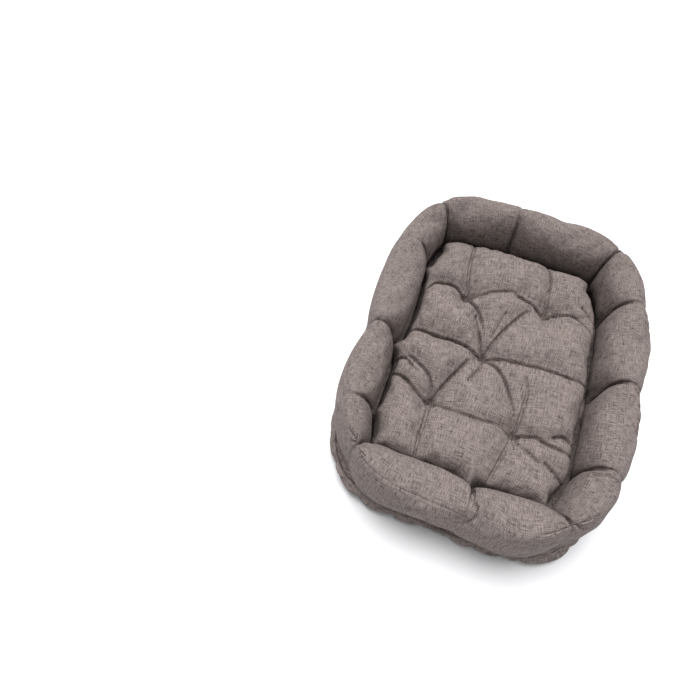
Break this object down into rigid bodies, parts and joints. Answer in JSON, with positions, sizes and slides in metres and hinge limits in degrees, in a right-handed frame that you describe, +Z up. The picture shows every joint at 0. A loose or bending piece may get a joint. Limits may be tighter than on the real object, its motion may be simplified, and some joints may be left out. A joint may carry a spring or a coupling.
{
  "type": "pet cushion bed",
  "caption": "Rectangular bolster pet bed with channelled padded walls on a padded base, and a loose tufted cushion that lifts out.",
  "frame": {"origin": "on the floor, under the middle of the bed's bounding box", "axes": "+X across the bed to its right-hand long wall, +Y along it to the back wall, +Z up; the front wall is the short one at -Y"},
  "size_m": [0.7056, 0.9162, 0.226],
  "materials": {
    "cover_fabric": "matt woven melange, warm taupe grey with darker slubs",
    "underside_fabric": "matt dark non-slip cloth with small raised dots",
    "fibre_fill": "white polyester fibre",
    "sewing_thread": "matt dark taupe polyester thread"
  },
  "bodies": {
    "bed": {"base_underside_panel": "underside_fabric", "base_filling": "fibre_fill", "base_side_band": "cover_fabric", "base_floor_panel": "cover_fabric", "front_wall_cover": "cover_fabric", "back_wall_cover": "cover_fabric", "left_wall_cover": "cover_fabric", "right_wall_cover": "cover_fabric", "front_wall_filling_1": "fibre_fill", "front_wall_filling_2": "fibre_fill", "back_wall_filling_1": "fibre_fill", "back_wall_filling_2": "fibre_fill", "left_wall_filling_1": "fibre_fill", "left_wall_filling_2": "fibre_fill", "left_wall_filling_3": "fibre_fill", "left_wall_filling_4": "fibre_fill", "right_wall_filling_1": "fibre_fill", "right_wall_filling_2": "fibre_fill", "right_wall_filling_3": "fibre_fill", "right_wall_filling_4": "fibre_fill", "front_channel_thread_1": "sewing_thread", "back_channel_thread_1": "sewing_thread", "left_channel_thread_1": "sewing_thread", "left_channel_thread_2": "sewing_thread", "left_channel_thread_3": "sewing_thread", "right_channel_thread_1": "sewing_thread", "right_channel_thread_2": "sewing_thread", "right_channel_thread_3": "sewing_thread", "corner_tack_front_left": "sewing_thread", "corner_tack_front_right": "sewing_thread", "corner_tack_back_left": "sewing_thread", "corner_tack_back_right": "sewing_thread"},
    "cushion": {"cushion_top_panel": "cover_fabric", "cushion_bottom_panel": "cover_fabric", "cushion_filling": "fibre_fill", "tuft_thread_1": "sewing_thread", "tuft_thread_2": "sewing_thread", "tuft_thread_3": "sewing_thread", "tuft_thread_4": "sewing_thread", "tuft_thread_5": "sewing_thread"}
  },
  "joints": [
    {"name": "cushion_lift", "type": "slide", "parent": "bed", "child": "cushion", "axis": [0, 0, 1], "range_m": [0, 0.25]}
  ]
}
